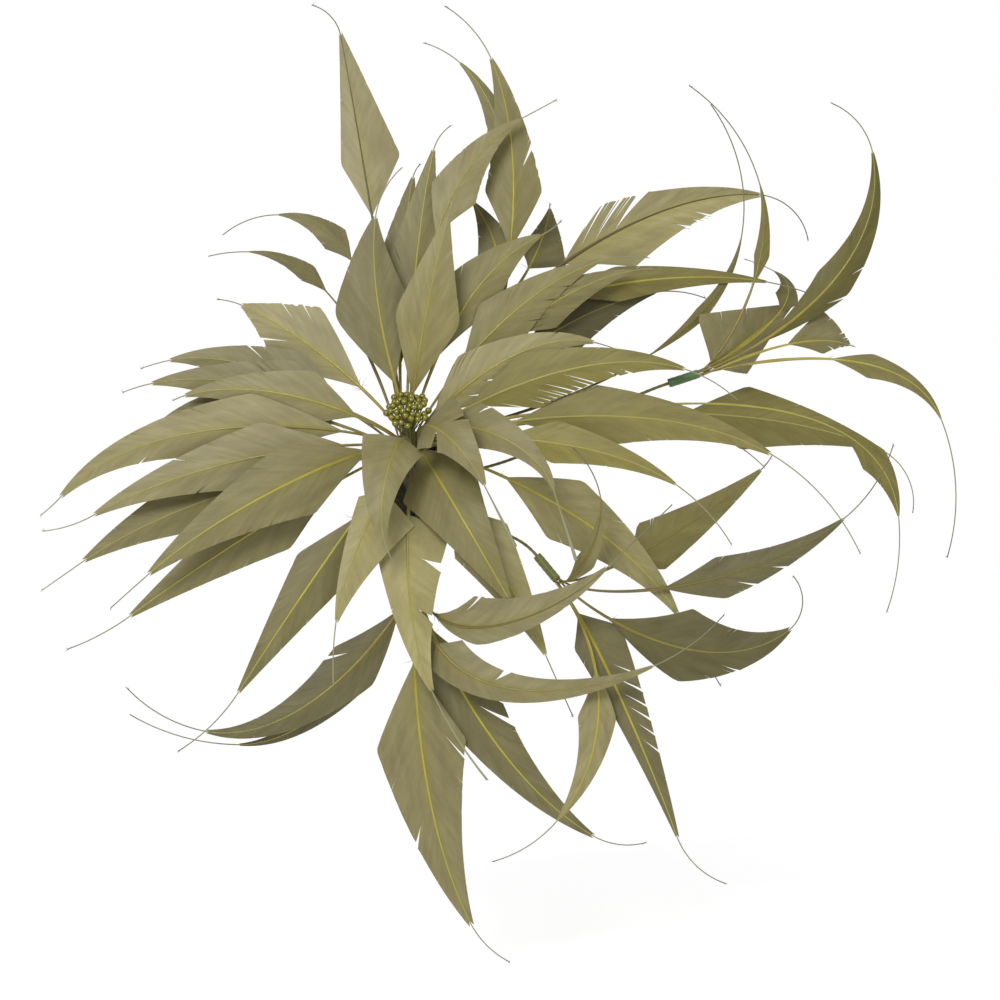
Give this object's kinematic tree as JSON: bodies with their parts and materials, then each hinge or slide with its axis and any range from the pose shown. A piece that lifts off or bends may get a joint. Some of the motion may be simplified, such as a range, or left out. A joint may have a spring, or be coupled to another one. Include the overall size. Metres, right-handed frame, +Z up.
{
  "type": "feather headpiece",
  "caption": "Olive feather fascinator: trimmed feathers with curled quill tips round a beaded stamen centre, with four wired feather sprays on a round base with a comb.",
  "frame": {"origin": "centre of the felt pad's underside, where the headpiece lies on the head", "axes": "+Y goes square into the head, +Z is up as worn, +X is towards the wearer's face (the piece is worn on the left side of the head)"},
  "size_m": [0.4021, 0.0946, 0.4258],
  "materials": {
    "feather": "dyed olive feather vane, satin, with a paler yellow-green quill",
    "stamen_bead": "pearly olive stamen heads",
    "stamen_wire": "stiffened thread",
    "stem_tape": "wrapped green florist's tape, satin",
    "hub_thread": "dark olive binding thread",
    "silver_thread": "pale silvery fibre",
    "base_felt": "black felt",
    "base_cover": "dark woven cover",
    "comb": "polished dark plastic"
  },
  "bodies": {
    "root": {"back_spray_fringed": "feather", "back_spray_right": "feather", "back_spray_short_pair": "feather", "back_spray_stem": "stem_tape", "back_spray_tall_pair": "feather", "base_disc": "base_cover", "far_right_pair": "feather", "felt_pad": "base_felt", "front_curl_far": "feather", "front_curl_left": "feather", "front_curl_right": "feather", "front_inner": "feather", "front_left": "feather", "front_right_long": "feather", "front_shadowed": "feather", "front_split": "feather", "front_spray_broad": "feather", "front_spray_curl": "feather", "front_spray_down_pair": "feather", "front_spray_right_pair": "feather", "front_spray_stem": "stem_tape", "hair_comb": "comb", "hub_binding": "hub_thread", "left_back_pair": "feather", "left_bright": "feather", "left_down": "feather", "left_long": "feather", "left_low_pair": "feather", "left_short_pair": "feather", "left_under": "feather", "lower_crescent_pair": "feather", "lower_left_pair": "feather", "lower_long": "feather", "lower_right": "feather", "lower_spray_stem": "stem_tape", "right_dark": "feather", "right_fringed_pair": "feather", "right_low_pair": "feather", "right_lower": "feather", "right_spray_broad": "feather", "right_spray_long": "feather", "right_spray_short_pair": "feather", "right_spray_stem": "stem_tape", "right_spray_tall": "feather", "right_spray_thin_pair": "feather", "right_thin": "feather", "right_upper_pair": "feather", "sewing_stitches": "hub_thread", "spray_bindings": "stem_tape", "stamen_beads": "stamen_bead", "stamen_stalks": "stamen_wire", "thread_ends": "silver_thread", "top_broad": "feather", "top_diamond": "feather", "top_left_broad": "feather", "top_left_thin_pair": "feather", "top_petal_pair": "feather", "top_short_pair": "feather", "top_tall": "feather"}
  },
  "joints": []
}
